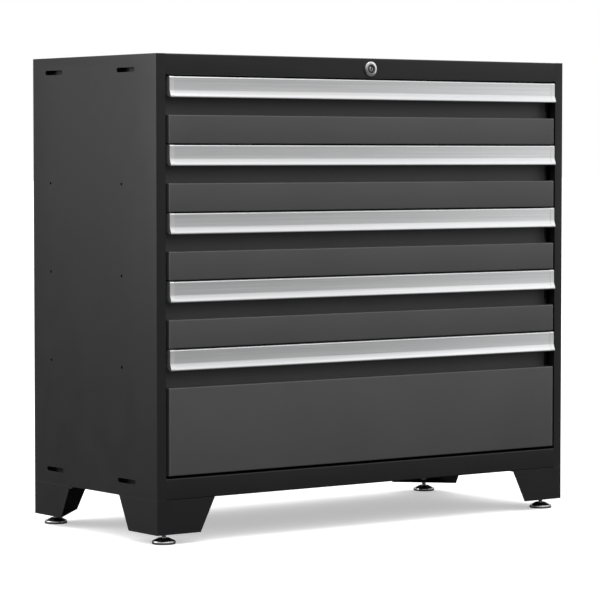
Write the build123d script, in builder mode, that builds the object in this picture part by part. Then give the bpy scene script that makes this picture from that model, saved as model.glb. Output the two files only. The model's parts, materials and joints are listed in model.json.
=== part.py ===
"""Five-drawer steel tool chest on four levelling feet, in millimetres.

X runs along the front, Y from front to back and Z up. The origin is on the floor, under the middle of
the chest. Every sheet is drawn as a line on its outer face, which is offset inwards by its thickness.
"""

import os

from build123d import *

os.makedirs("parts", exist_ok=True)

# Overall sizes
width = 914.0
depth = 406.0
height = 835.0

# Sheet metal
sheet = 1.0
bend = 2.0
tight_bend = 0.6
leg_sheet = 1.6

# Front frame, measured from the folds of the side panels
stile_width = 18.5
stile_return = 14.0
top_rail_height = 36.0
bottom_rail_height = 36.5
rail_flange = 25.0
panel_flange = 13.0
rear_flange = 16.0

# Slots and holes in each side panel, from the frame's front, back, top and bottom
slot_length = 56.0
slot_height = 8.0
slot_from_end = 26.0
front_slot_inset = 94.5
rear_slot_inset = 71.5
hole_diameter = 5.0
front_hole_inset = 109.0
rear_hole_inset = 59.5
hole_pitch = 157.5
hole_rows = 3

# Drawers, numbered from the top
small_drawers = 4
deep_front_height = 215.0
gap_above = 2.5
gap_between = 2.5
gap_below = 4.5
gap_beside = 5.5

# Drawer fronts and handles: how far each stands in front of the frame, and heights below a drawer's top
front_proud = 2.0
handle_proud = 4.0
lip_proud = 8.0
recess_depth = 24.0
handle_height = 35.5
handle_face = 22.5
handle_wall = 2.0
handle_corner = 2.4
handle_flange = 26.0
handle_end_gap = 1.0
lip_sag = 0.4
lip_edge = 2.0
lip_round = 0.9
ledge_drop = 65.0
front_return = 17.0
weld_flange = 12.0

# Drawer boxes
box_top_drop = 14.0
box_bottom_rise = 8.0
box_rim = 6.0

# Ball-bearing slides
slide_thickness = 12.7
slide_setback = 2.0
slide_rise = 30.0
slide_sheet = 1.2
outer_height = 45.0
outer_reach = 10.0
race_lip = 2.5
middle_height = 35.6
middle_gap = 2.4
middle_reach = 11.0
inner_height = 26.0
inner_reach = 7.9

# Room behind the slides, for the lock bar
rear_gap = 21.0

# Slide posts and the hooks that hang the slides on them
post_width = 26.0
post_lip = 8.0
post_end_gap = 1.0
post_setback = 2.0
hook_height = 8.0
hook_reach = 4.0
hook_lift = 2.0
hook_clearance = 0.3

# Legs and levelling feet
foot_gap = 18.0
leg_height = 59.0
leg_top_width = 119.0
leg_bottom_width = 89.5
leg_flange = 30.0
foot_inset_x = 29.5
foot_inset_y = 25.0
pad_diameter = 41.0
pad_rim = 6.0
pad_round = 2.0
pad_height = 11.0
pad_neck_diameter = 17.0
stem_diameter = 8.0
stem_length = 62.0
stem_chamfer = 1.0
collar_diameter = 12.0
collar_height = 4.0
swivel_floor = 3.0
stem_clearance = 0.3
foot_nut_flats = 13.0
foot_nut_height = 6.5

# Screws and their nuts
leg_screw_diameter = 6.0
leg_screw_flats = 10.0
leg_screw_head = 4.0
leg_screw_washer = 13.0
leg_screw_washer_height = 1.2
leg_screw_near = 15.0
leg_screw_far = 95.0
leg_nut_height = 5.0
leg_screw_end = 1.0
small_screw_diameter = 3.9
small_screw_head_diameter = 7.0
small_screw_head = 1.8
small_screw_end = 1.2
screw_clearance = 0.4
handle_screws = 5
handle_screw_inset = 43.0
handle_screw_drop = 20.0
slide_screw_front = 50.0
slide_screw_rear = 80.0

# Lock: barrel and plug in the top rail, and a cranked rod to the back of the chest
lock_from_top = 19.0
bezel_diameter = 26.5
bezel_proud = 3.0
bezel_round = 1.2
barrel_diameter = 19.0
barrel_length = 22.0
plug_diameter = 15.0
plug_recess = 1.0
plug_core_diameter = 8.0
plug_core_proud = 0.6
keyway_width = 2.2
keyway_height = 6.5
keyway_depth = 9.0
plug_collar_diameter = 18.4
plug_collar = 3.0
lock_clearance = 0.3
lock_nut_flats = 24.0
lock_nut_height = 4.0
rod_diameter = 5.0
rod_seat = 6.0
rod_seat_clearance = 0.1
rod_bend = 3.4
crank_reach = 6.0
crank_gap = 3.0
pin_past_bar = 3.0

# Strikers on the drawers, the bar whose hooks rise behind them, and its brackets
striker_width = 24.0
striker_drop = 12.0
striker_reach = 9.5
striker_lip = 14.0
bar_width = 24.0
bar_thickness = 2.0
bar_gap = 2.5
bar_end = 5.0
bar_head_height = 20.0
bar_head_width = 30.0
finger_below_lip = 3.0
finger_height = 13.0
finger_thickness = 3.0
finger_gap = 2.5
arm_thickness = 4.0
pin_slack = 0.6
guide_sheet = 1.2
guide_height = 14.0
guide_foot = 12.0
guide_slack_x = 0.8
guide_slack_y = 0.4
rod_bracket_foot = 22.0
rod_bracket_drop = 28.0
rod_bracket_width = 28.0
rod_bracket_inset = 28.0

# Faces of the cabinet
front_y = -depth / 2 + lip_proud
back_y = depth / 2
middle_y = (front_y + back_y) / 2
side_x = width / 2
inside_x = side_x - sheet
body_bottom = foot_gap + leg_height
body_middle = (body_bottom + height) / 2
opening_x = side_x - stile_width
opening_bottom = body_bottom + bottom_rail_height
opening_top = height - top_rail_height
rail_back_y = front_y + rail_flange
back_panel_y = back_y - 2 * sheet

# Tops and heights of the drawers, from the top one down
shared_height = opening_top - opening_bottom - gap_above - gap_below - small_drawers * gap_between
front_height = (shared_height - deep_front_height) / small_drawers
front_heights = [front_height] * small_drawers + [deep_front_height]
drawers = range(small_drawers + 1)
drawer_tops = [opening_top - gap_above - n * (front_height + gap_between) for n in drawers]

# Faces of the drawer fronts, boxes and slides
front_x = opening_x - gap_beside
face_y = front_y - front_proud
recess_y = face_y + recess_depth
grip_depth = handle_corner + handle_wall / 2
box_front_y = recess_y + sheet
box_x = opening_x - slide_thickness
slide_front_y = box_front_y + slide_setback
slide_back_y = back_panel_y - rear_gap
slide_length = slide_back_y - slide_front_y
box_back_y = slide_back_y - slide_setback
box_bottoms = [drawer_tops[n] - front_heights[n] + box_bottom_rise for n in drawers]
box_tops = [top - box_top_drop for top in drawer_tops]
slide_levels = [bottom + slide_rise for bottom in box_bottoms]
striker_levels = [top - striker_drop for top in box_tops]

# Places of the slots, posts, screws and feet
front_slot_y = front_y + front_slot_inset
rear_slot_y = back_y - rear_slot_inset
front_post_y = slide_front_y + post_setback + post_width / 2
rear_post_y = rear_slot_y + slot_length / 2 + post_setback + post_width / 2
handle_screw_step = (2 * front_x - 2 * handle_screw_inset) / (handle_screws - 1)
slide_screw_ys = [slide_front_y + slide_screw_front, slide_back_y - slide_screw_rear]
leg_screw_places = [(leg_screw_far, leg_screw_near), (leg_screw_near, leg_screw_far)]
corners = [("front_left", -1, -1), ("front_right", 1, -1), ("rear_left", -1, 1), ("rear_right", 1, 1)]

# Places of the lock's pieces
lock_z = height - lock_from_top
barrel_back_y = front_y + barrel_length
striker_back_y = box_back_y + striker_reach
bar_front_y = striker_back_y + bar_gap
crank_y = bar_front_y - crank_gap - rod_diameter / 2
pin_end_y = bar_front_y + bar_thickness + pin_past_bar
pin_z = lock_z - crank_reach
crank_radius = crank_reach * 2**0.5
finger_tops = [level - striker_lip - finger_below_lip for level in striker_levels]
guide_levels = [(box_tops[n + 1] + box_bottoms[n]) / 2 for n in (0, small_drawers - 1)]


# Cabinet shell

with BuildPart() as left_side_panel:
    with BuildSketch(Plane.XY.offset(body_bottom)):
        with BuildLine():
            FilletPolyline(
                (-opening_x, front_y + stile_return),
                (-opening_x, front_y),
                (-side_x, front_y),
                (-side_x, back_y),
                (-side_x + rear_flange, back_y),
                radius=(tight_bend, bend, bend),
            )
            offset(amount=sheet, side=Side.RIGHT)
        make_face()
    extrude(amount=height - body_bottom)
    slot_levels = (body_bottom + slot_from_end, height - slot_from_end)
    with BuildSketch(Plane.YZ.offset(-side_x)):
        with Locations(*[(y, z) for y in (front_slot_y, rear_slot_y) for z in slot_levels]):
            SlotOverall(slot_length, slot_height)
        hole_middle_y = (front_y + front_hole_inset + back_y - rear_hole_inset) / 2
        hole_spread_y = back_y - rear_hole_inset - front_y - front_hole_inset
        with Locations((hole_middle_y, body_middle)):
            with GridLocations(hole_spread_y, hole_pitch, 2, hole_rows):
                Circle(hole_diameter / 2)
    extrude(amount=sheet, mode=Mode.SUBTRACT)
left_side_panel.part.label = "left_side_panel"
export_step(left_side_panel.part, "parts/left_side_panel.step")

with BuildPart() as right_side_panel:
    mirror(left_side_panel.part, about=Plane.YZ)
right_side_panel.part.label = "right_side_panel"
export_step(right_side_panel.part, "parts/right_side_panel.step")

with BuildPart() as back_panel:
    with BuildSketch(Plane.XZ.offset(-back_panel_y)):
        with Locations((0, body_middle)):
            RectangleRounded(2 * (inside_x - sheet), height - body_bottom - 2 * sheet, bend)
    extrude(amount=-sheet)
back_panel.part.label = "back_panel"
export_step(back_panel.part, "parts/back_panel.step")

with BuildPart() as top_panel:
    with BuildSketch(Plane.XZ.offset(-back_y + sheet)):
        with BuildLine():
            FilletPolyline(
                (-inside_x, height - panel_flange),
                (-inside_x, height),
                (inside_x, height),
                (inside_x, height - panel_flange),
                radius=bend,
            )
            offset(amount=sheet, side=Side.RIGHT)
        make_face()
    extrude(amount=back_y - front_y - 2 * sheet)
    with BuildSketch(Plane.XY.offset(height)):
        with Locations((0, front_y)):
            Rectangle(2 * opening_x, 2 * rail_flange)
            Rectangle(2 * (opening_x + sheet), 2 * stile_return)
        with Locations((0, middle_y)):
            with GridLocations(2 * inside_x, back_y - front_y - 2 * sheet, 2, 2):
                Rectangle(2 * sheet, 2 * bend - 2 * sheet)
    extrude(amount=-panel_flange, mode=Mode.SUBTRACT)
top_panel.part.label = "top_panel"
export_step(top_panel.part, "parts/top_panel.step")

with BuildPart() as bottom_panel:
    with BuildSketch(Plane.XZ.offset(-back_y + sheet)):
        with BuildLine():
            FilletPolyline(
                (-inside_x, body_bottom + panel_flange),
                (-inside_x, body_bottom),
                (inside_x, body_bottom),
                (inside_x, body_bottom + panel_flange),
                radius=bend,
            )
            offset(amount=sheet, side=Side.LEFT)
        make_face()
    extrude(amount=back_y - front_y - 2 * sheet)
    with BuildSketch(Plane.XY.offset(body_bottom)):
        with Locations((0, front_y)):
            Rectangle(2 * opening_x, 2 * rail_flange)
            Rectangle(2 * (opening_x + sheet), 2 * stile_return)
        with Locations((0, middle_y)):
            with GridLocations(2 * inside_x, back_y - front_y - 2 * sheet, 2, 2):
                Rectangle(2 * sheet, 2 * bend - 2 * sheet)
        for name, side, end in corners:
            with Locations((side * side_x, middle_y + end * (back_y - middle_y))):
                with Locations(*[(-side * x, -end * y) for x, y in leg_screw_places]):
                    Circle((leg_screw_diameter + screw_clearance) / 2)
    extrude(amount=panel_flange, mode=Mode.SUBTRACT)
bottom_panel.part.label = "bottom_panel"
export_step(bottom_panel.part, "parts/bottom_panel.step")

with BuildPart() as top_front_rail:
    with BuildSketch(Plane.YZ.offset(-opening_x)):
        with BuildLine():
            FilletPolyline(
                (rail_back_y, height),
                (front_y, height),
                (front_y, opening_top),
                (rail_back_y, opening_top),
                radius=bend,
            )
            offset(amount=sheet, side=Side.LEFT)
        make_face()
    extrude(amount=2 * opening_x)
    with BuildSketch(Plane.XZ.offset(-front_y)):
        with Locations((0, lock_z)):
            Circle((barrel_diameter + screw_clearance) / 2)
    extrude(amount=-sheet, mode=Mode.SUBTRACT)
top_front_rail.part.label = "top_front_rail"
export_step(top_front_rail.part, "parts/top_front_rail.step")

with BuildPart() as bottom_front_rail:
    with BuildSketch(Plane.YZ.offset(-opening_x)):
        with BuildLine():
            FilletPolyline(
                (rail_back_y, opening_bottom),
                (front_y, opening_bottom),
                (front_y, body_bottom),
                (rail_back_y, body_bottom),
                radius=bend,
            )
            offset(amount=sheet, side=Side.LEFT)
        make_face()
    extrude(amount=2 * opening_x)
    with BuildSketch(Plane.XY.offset(body_bottom)):
        with Locations((leg_screw_far - side_x, front_y + leg_screw_near)):
            Circle((leg_screw_diameter + screw_clearance) / 2)
        with Locations((side_x - leg_screw_far, front_y + leg_screw_near)):
            Circle((leg_screw_diameter + screw_clearance) / 2)
    extrude(amount=sheet, mode=Mode.SUBTRACT)
bottom_front_rail.part.label = "bottom_front_rail"
export_step(bottom_front_rail.part, "parts/bottom_front_rail.step")


# Slide posts: lipped channels whose slots hold the slides' hooks

with BuildPart() as slide_posts:
    with BuildSketch(Plane.XY.offset(body_bottom + panel_flange + post_end_gap)):
        for post_y in (front_post_y, rear_post_y):
            with BuildLine():
                FilletPolyline(
                    (-inside_x, post_y + post_width / 2 - post_lip),
                    (-inside_x, post_y + post_width / 2),
                    (-opening_x, post_y + post_width / 2),
                    (-opening_x, post_y - post_width / 2),
                    (-inside_x, post_y - post_width / 2),
                    (-inside_x, post_y - post_width / 2 + post_lip),
                    radius=bend,
                )
                offset(amount=sheet, side=Side.RIGHT)
            make_face()
    extrude(amount=height - body_bottom - 2 * (panel_flange + post_end_gap))
    with BuildSketch(Plane.YZ.offset(-opening_x)):
        slot_middles = [level + hook_lift / 2 for level in slide_levels]
        with Locations(*[(y, z) for y in (front_post_y, rear_post_y) for z in slot_middles]):
            Rectangle(slide_sheet + 2 * hook_clearance, hook_height + hook_lift)
    extrude(amount=-sheet, mode=Mode.SUBTRACT)
    mirror(about=Plane.YZ)
slide_posts.part.label = "slide_posts"
export_step(slide_posts.part, "parts/slide_posts.step")

with BuildPart() as slide_outer_members:
    with BuildSketch(Plane.XZ.offset(-slide_back_y)):
        for level in slide_levels:
            tip_x = -opening_x + outer_reach
            with BuildLine():
                FilletPolyline(
                    (tip_x, level + outer_height / 2 - race_lip),
                    (tip_x, level + outer_height / 2),
                    (-opening_x, level + outer_height / 2),
                    (-opening_x, level - outer_height / 2),
                    (tip_x, level - outer_height / 2),
                    (tip_x, level - outer_height / 2 + race_lip),
                    radius=slide_sheet,
                )
                offset(amount=slide_sheet, side=Side.LEFT)
            make_face()
    extrude(amount=slide_length)
    with BuildSketch(Plane.YZ.offset(-opening_x)):
        with Locations(*[(y, z) for y in (front_post_y, rear_post_y) for z in slide_levels]):
            Rectangle(slide_sheet, hook_height)
    extrude(amount=-hook_reach)
    mirror(about=Plane.YZ)
slide_outer_members.part.label = "slide_outer_members"
export_step(slide_outer_members.part, "parts/slide_outer_members.step")


# Drawers: each has a front of a folded pan and a recess wall, a tray, a handle, its screws and the moving
# members of its slides

for n in drawers:
    drawer = f"drawer_{n + 1}"
    top = drawer_tops[n]
    front_bottom = top - front_heights[n]

    with BuildPart() as front_pan:
        with BuildSketch(Plane.YZ.offset(-front_x)):
            with BuildLine():
                FilletPolyline(
                    (recess_y, top - ledge_drop - weld_flange),
                    (recess_y, top - ledge_drop),
                    (face_y, top - ledge_drop),
                    (face_y, front_bottom),
                    (face_y + front_return, front_bottom),
                    radius=bend,
                )
                offset(amount=sheet, side=Side.LEFT)
            make_face()
        extrude(amount=2 * front_x)
        for end_x in (-front_x, front_x - sheet):
            with BuildSketch(Plane.YZ.offset(end_x)):
                with BuildLine():
                    FilletPolyline(
                        (box_front_y, top - ledge_drop),
                        (face_y, top - ledge_drop),
                        (face_y, front_bottom),
                        (box_front_y, front_bottom),
                        radius=(0, bend, bend, 0),
                        close=True,
                    )
                make_face()
            extrude(amount=sheet)

    with BuildPart() as recess_wall:
        with BuildSketch(Plane.XZ.offset(-box_front_y)):
            with Locations((0, top - handle_wall)):
                Rectangle(
                    2 * front_x - 2 * sheet,
                    ledge_drop + weld_flange - handle_wall,
                    align=(Align.CENTER, Align.MAX),
                )
            with Locations((0, top - handle_screw_drop)):
                with GridLocations(handle_screw_step, 0, handle_screws, 1):
                    Circle((small_screw_diameter + screw_clearance) / 2, mode=Mode.SUBTRACT)
        extrude(amount=sheet)

    drawer_front = Compound(front_pan.solids() + recess_wall.solids())
    drawer_front.label = f"{drawer}_front"
    export_step(drawer_front, f"parts/{drawer}_front.step")

    # The tray is welded from a floor, side and end walls with a rim, and a striker, which stay apart
    box_length = box_back_y - box_front_y
    wall_bottom = box_bottoms[n] + sheet

    with BuildPart() as box_floor:
        with BuildSketch(Plane.XY.offset(box_bottoms[n])):
            with Locations((0, box_front_y)):
                Rectangle(2 * box_x, box_length, align=(Align.CENTER, Align.MIN))
        extrude(amount=sheet)

    with BuildPart() as box_sides:
        with BuildSketch(Plane.XZ.offset(-box_back_y)):
            with BuildLine():
                Polyline(
                    (-box_x, wall_bottom),
                    (-box_x, box_tops[n]),
                    (-box_x + box_rim, box_tops[n]),
                )
                offset(amount=sheet, side=Side.RIGHT)
            make_face()
        extrude(amount=box_length)
        with BuildSketch(Plane.YZ.offset(-box_x)):
            with Locations(*[(y, slide_levels[n]) for y in slide_screw_ys]):
                Circle((small_screw_diameter + screw_clearance) / 2)
        extrude(amount=sheet, mode=Mode.SUBTRACT)
        mirror(about=Plane.YZ)

    with BuildPart() as box_ends:
        for wall_y, inward in ((box_front_y, 1), (box_back_y, -1)):
            with BuildSketch(Plane.XZ.offset(-wall_y)):
                with Locations((0, wall_bottom)):
                    Rectangle(
                        2 * box_x - 2 * sheet,
                        box_tops[n] - sheet - wall_bottom,
                        align=(Align.CENTER, Align.MIN),
                    )
            extrude(amount=-inward * sheet)
            with BuildSketch(Plane.XY.offset(box_tops[n])):
                with Locations((0, wall_y + inward * box_rim / 2)):
                    Rectangle(2 * box_x - 2 * box_rim, box_rim)
            extrude(amount=-sheet)
        with BuildSketch(Plane.XZ.offset(-box_front_y)):
            with Locations((0, top - handle_screw_drop)):
                with GridLocations(handle_screw_step, 0, handle_screws, 1):
                    Circle((small_screw_diameter + screw_clearance) / 2)
        extrude(amount=-sheet, mode=Mode.SUBTRACT)

    with BuildPart() as striker_arm:
        with BuildSketch(Plane.XY.offset(striker_levels[n])):
            with Locations((0, box_back_y)):
                Rectangle(striker_width, striker_reach - sheet, align=(Align.CENTER, Align.MIN))
        extrude(amount=-sheet)

    with BuildPart() as striker_hook:
        with BuildSketch(Plane.XZ.offset(-striker_back_y)):
            with Locations((0, striker_levels[n])):
                Rectangle(striker_width, striker_lip, align=(Align.CENTER, Align.MAX))
        extrude(amount=sheet)

    box_walls = box_sides.solids() + box_ends.solids()
    drawer_box = Compound(box_floor.solids() + box_walls + striker_arm.solids() + striker_hook.solids())
    drawer_box.label = f"{drawer}_box"
    export_step(drawer_box, f"parts/{drawer}_box.step")

    # The handle's section is drawn as the grip in front, the web over the recess and the flange behind
    handle_y = front_y - handle_proud
    lip_y = front_y - lip_proud
    lip_top = top - handle_face
    lip_bottom = top - handle_height
    handle_start = Plane.YZ.offset(-front_x + handle_end_gap)
    handle_length = 2 * front_x - 2 * handle_end_gap

    with BuildPart() as handle_grip:
        with BuildSketch(handle_start):
            with BuildLine():
                FilletPolyline(
                    (handle_y + grip_depth, top),
                    (handle_y, top),
                    (handle_y, lip_top),
                    radius=handle_corner,
                )
                lip_middle = ((handle_y + lip_y) / 2 + lip_sag, (lip_top + lip_bottom + lip_edge) / 2)
                ThreePointArc((handle_y, lip_top), lip_middle, (lip_y, lip_bottom + lip_edge))
                Line((lip_y, lip_bottom + lip_edge), (lip_y, lip_bottom))
                offset(amount=handle_wall, side=Side.LEFT)
            make_face()
        extrude(amount=handle_length)
        fillet(handle_grip.edges().filter_by(Axis.X).sort_by(Axis.Z)[:2], lip_round)

    with BuildPart() as handle_web:
        with BuildSketch(handle_start):
            with Locations((handle_y + grip_depth, top)):
                web_width = recess_y - handle_wall - handle_y - grip_depth
                Rectangle(web_width, handle_wall, align=(Align.MIN, Align.MAX))
        extrude(amount=handle_length)

    with BuildPart() as handle_back:
        with BuildSketch(handle_start):
            with Locations((recess_y, top)):
                Rectangle(handle_wall, handle_flange, align=Align.MAX)
        extrude(amount=handle_length)
        with BuildSketch(Plane.XZ.offset(-recess_y)):
            with Locations((0, top - handle_screw_drop)):
                with GridLocations(handle_screw_step, 0, handle_screws, 1):
                    Circle((small_screw_diameter + screw_clearance) / 2)
        extrude(amount=handle_wall, mode=Mode.SUBTRACT)

    drawer_handle = Compound(handle_grip.solids() + handle_web.solids() + handle_back.solids())
    drawer_handle.label = f"{drawer}_handle"
    export_step(drawer_handle, f"parts/{drawer}_handle.step")

    with BuildPart() as drawer_screws:
        head_y = box_front_y + sheet
        with BuildSketch(Plane.XZ.offset(-head_y)):
            with Locations((0, top - handle_screw_drop)):
                with GridLocations(handle_screw_step, 0, handle_screws, 1):
                    Circle(small_screw_head_diameter / 2)
        extrude(amount=-small_screw_head)
        with BuildSketch(Plane.XZ.offset(-head_y)):
            with Locations((0, top - handle_screw_drop)):
                with GridLocations(handle_screw_step, 0, handle_screws, 1):
                    Circle(small_screw_diameter / 2)
        extrude(amount=2 * sheet + handle_wall)
        for side in (-1, 1):
            web_x = side * (box_x + slide_sheet)
            with BuildSketch(Plane.YZ.offset(web_x)):
                with Locations(*[(y, slide_levels[n]) for y in slide_screw_ys]):
                    Circle(small_screw_head_diameter / 2)
            extrude(amount=side * small_screw_head)
            with BuildSketch(Plane.YZ.offset(web_x)):
                with Locations(*[(y, slide_levels[n]) for y in slide_screw_ys]):
                    Circle(small_screw_diameter / 2)
            extrude(amount=-side * (slide_sheet + sheet + small_screw_end))
    drawer_screws.part.label = f"{drawer}_screws"
    export_step(drawer_screws.part, f"parts/{drawer}_screws.step")

    with BuildPart() as inner_members:
        with BuildSketch(Plane.XZ.offset(-slide_back_y)):
            with BuildLine():
                FilletPolyline(
                    (-box_x - inner_reach, slide_levels[n] - inner_height / 2),
                    (-box_x, slide_levels[n] - inner_height / 2),
                    (-box_x, slide_levels[n] + inner_height / 2),
                    (-box_x - inner_reach, slide_levels[n] + inner_height / 2),
                    radius=slide_sheet,
                )
                offset(amount=slide_sheet, side=Side.LEFT)
            make_face()
        extrude(amount=slide_length)
        with BuildSketch(Plane.YZ.offset(-box_x)):
            with Locations(*[(y, slide_levels[n]) for y in slide_screw_ys]):
                Circle((small_screw_diameter + screw_clearance) / 2)
        extrude(amount=-slide_sheet, mode=Mode.SUBTRACT)
        mirror(about=Plane.YZ)
    inner_members.part.label = f"{drawer}_inner_members"
    export_step(inner_members.part, f"parts/{drawer}_inner_members.step")

    with BuildPart() as middle_members:
        web_x = -opening_x + middle_gap
        with BuildSketch(Plane.XZ.offset(-slide_back_y)):
            with BuildLine():
                FilletPolyline(
                    (-opening_x + middle_reach, slide_levels[n] + middle_height / 2),
                    (web_x, slide_levels[n] + middle_height / 2),
                    (web_x, slide_levels[n] - middle_height / 2),
                    (-opening_x + middle_reach, slide_levels[n] - middle_height / 2),
                    radius=slide_sheet,
                )
                offset(amount=slide_sheet, side=Side.LEFT)
            make_face()
        extrude(amount=slide_length)
        mirror(about=Plane.YZ)
    middle_members.part.label = f"{drawer}_middle_members"
    export_step(middle_members.part, f"parts/{drawer}_middle_members.step")


# Legs: tapered corner brackets, each with a flange under the body and a three-cornered plate for the foot

with BuildPart() as leg:
    with BuildSketch(Plane.XY.offset(foot_gap)):
        with BuildLine():
            FilletPolyline(
                (-side_x + leg_top_width, front_y),
                (-side_x, front_y),
                (-side_x, front_y + leg_top_width),
                radius=bend,
            )
            offset(amount=leg_sheet, side=Side.RIGHT)
        make_face()
    extrude(amount=leg_height)
    with BuildSketch(Plane.XZ.offset(-front_y)):
        with BuildLine():
            Polyline(
                (-side_x + leg_top_width, body_bottom),
                (-side_x + leg_bottom_width, foot_gap),
                (-side_x + leg_top_width, foot_gap),
                close=True,
            )
        make_face()
    extrude(amount=-leg_sheet, mode=Mode.SUBTRACT)
    with BuildSketch(Plane.YZ.offset(-side_x)):
        with BuildLine():
            Polyline(
                (front_y + leg_top_width, body_bottom),
                (front_y + leg_bottom_width, foot_gap),
                (front_y + leg_top_width, foot_gap),
                close=True,
            )
        make_face()
    extrude(amount=leg_sheet, mode=Mode.SUBTRACT)
    with BuildSketch(Plane.XY.offset(body_bottom)):
        with Locations((-side_x + leg_sheet / 2, front_y + leg_sheet / 2)):
            Rectangle(leg_top_width - leg_sheet / 2, leg_flange, align=Align.MIN)
            Rectangle(leg_flange, leg_top_width - leg_sheet / 2, align=Align.MIN)
        with Locations((-side_x, front_y)):
            with Locations(*leg_screw_places):
                Circle((leg_screw_diameter + screw_clearance) / 2, mode=Mode.SUBTRACT)
    extrude(amount=-leg_sheet)
    with BuildSketch(Plane.XY.offset(foot_gap)):
        with BuildLine():
            Polyline(
                (-side_x + leg_sheet / 2, front_y + leg_sheet / 2),
                (-side_x + leg_bottom_width, front_y + leg_sheet / 2),
                (-side_x + leg_sheet / 2, front_y + leg_bottom_width),
                close=True,
            )
        make_face()
        with Locations((-side_x + foot_inset_x, front_y + foot_inset_y)):
            Circle(stem_diameter / 2 + stem_clearance, mode=Mode.SUBTRACT)
    extrude(amount=leg_sheet)

for name, side, end in corners:
    with BuildPart() as placed_leg:
        add(leg.part)
        if side > 0:
            mirror(about=Plane.YZ, mode=Mode.REPLACE)
        if end > 0:
            mirror(about=Plane.XZ.offset(-middle_y), mode=Mode.REPLACE)
    placed_leg.part.label = f"leg_{name}"
    export_step(placed_leg.part, f"parts/leg_{name}.step")

with BuildPart() as leg_screws:
    for name, side, end in corners:
        corner = (side * side_x, middle_y + end * (back_y - middle_y))
        places = [(corner[0] - side * x, corner[1] - end * y) for x, y in leg_screw_places]
        under_flange = body_bottom - leg_sheet
        with BuildSketch(Plane.XY.offset(under_flange)):
            with Locations(*places):
                Circle(leg_screw_washer / 2)
        extrude(amount=-leg_screw_washer_height)
        with BuildSketch(Plane.XY.offset(under_flange - leg_screw_washer_height)):
            with Locations(*places):
                RegularPolygon(leg_screw_flats / 2, 6, major_radius=False)
        extrude(amount=-leg_screw_head)
        with BuildSketch(Plane.XY.offset(under_flange)):
            with Locations(*places):
                Circle(leg_screw_diameter / 2)
        extrude(amount=leg_sheet + sheet + leg_nut_height + leg_screw_end)
leg_screws.part.label = "leg_screws"
export_step(leg_screws.part, "parts/leg_screws.step")

with BuildPart() as leg_nuts:
    for name, side, end in corners:
        corner = (side * side_x, middle_y + end * (back_y - middle_y))
        places = [(corner[0] - side * x, corner[1] - end * y) for x, y in leg_screw_places]
        with BuildSketch(Plane.XY.offset(body_bottom + sheet)):
            with Locations(*places):
                RegularPolygon(leg_screw_flats / 2, 6, major_radius=False)
                Circle(leg_screw_diameter / 2 + screw_clearance / 4, mode=Mode.SUBTRACT)
        extrude(amount=leg_nut_height)
        with BuildSketch(Plane.XY.offset(foot_gap + leg_sheet)):
            with Locations((corner[0] - side * foot_inset_x, corner[1] - end * foot_inset_y)):
                RegularPolygon(foot_nut_flats / 2, 6, major_radius=False)
                Circle(stem_diameter / 2 + stem_clearance, mode=Mode.SUBTRACT)
        extrude(amount=foot_nut_height)
leg_nuts.part.label = "leg_nuts"
export_step(leg_nuts.part, "parts/leg_nuts.step")


# Levelling feet: a pad that swivels on the collar of a threaded stem

for name, side, end in corners:
    foot_x = side * (side_x - foot_inset_x)
    foot_y = middle_y + end * (back_y - middle_y - foot_inset_y)
    foot_plane = Plane((foot_x, foot_y, 0), x_dir=(1, 0, 0), z_dir=(0, -1, 0))
    foot_axis = Axis((foot_x, foot_y, 0), (0, 0, 1))
    collar_top = swivel_floor + stem_clearance + collar_height

    with BuildPart() as foot_pad:
        with BuildSketch(foot_plane):
            with BuildLine():
                FilletPolyline(
                    (0, 0),
                    (pad_diameter / 2, 0),
                    (pad_diameter / 2, pad_rim),
                    (pad_neck_diameter / 2, pad_height),
                    (0, pad_height),
                    radius=(0, pad_round / 2, pad_round, pad_round / 2, 0),
                    close=True,
                )
            make_face()
            with Locations((0, swivel_floor)):
                Rectangle(
                    collar_diameter / 2 + stem_clearance,
                    collar_height + 2 * stem_clearance,
                    align=Align.MIN,
                    mode=Mode.SUBTRACT,
                )
                stem_hole = stem_diameter / 2 + stem_clearance
                Rectangle(stem_hole, pad_height, align=Align.MIN, mode=Mode.SUBTRACT)
        revolve(axis=foot_axis)
    foot_pad.part.label = f"foot_pad_{name}"
    export_step(foot_pad.part, f"parts/foot_pad_{name}.step")

    with BuildPart() as foot_stem:
        with BuildSketch(Plane((foot_x, foot_y, swivel_floor + stem_clearance))):
            Circle(collar_diameter / 2)
        extrude(amount=collar_height)
        with BuildSketch(Plane((foot_x, foot_y, collar_top))):
            Circle(stem_diameter / 2)
        extrude(amount=stem_length - collar_height)
        chamfer(foot_stem.edges().sort_by(Axis.Z)[-1], stem_chamfer)
    foot_stem.part.label = f"foot_stem_{name}"
    export_step(foot_stem.part, f"parts/foot_stem_{name}.step")


# Lock: barrel, nut, plug and cranked rod

with BuildPart() as lock_barrel:
    with BuildSketch(Plane.XZ.offset(-front_y)):
        with Locations((0, lock_z)):
            Circle(bezel_diameter / 2)
    extrude(amount=bezel_proud)
    fillet(lock_barrel.edges().sort_by(Axis.Y)[0], bezel_round)
    with BuildSketch(Plane.XZ.offset(-front_y)):
        with Locations((0, lock_z)):
            Circle(barrel_diameter / 2)
    extrude(amount=-barrel_length)
    with BuildSketch(Plane.XZ.offset(-front_y + bezel_proud)):
        with Locations((0, lock_z)):
            Circle(plug_diameter / 2 + lock_clearance)
    extrude(amount=-barrel_length - bezel_proud, mode=Mode.SUBTRACT)
lock_barrel.part.label = "lock_barrel"
export_step(lock_barrel.part, "parts/lock_barrel.step")

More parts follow.
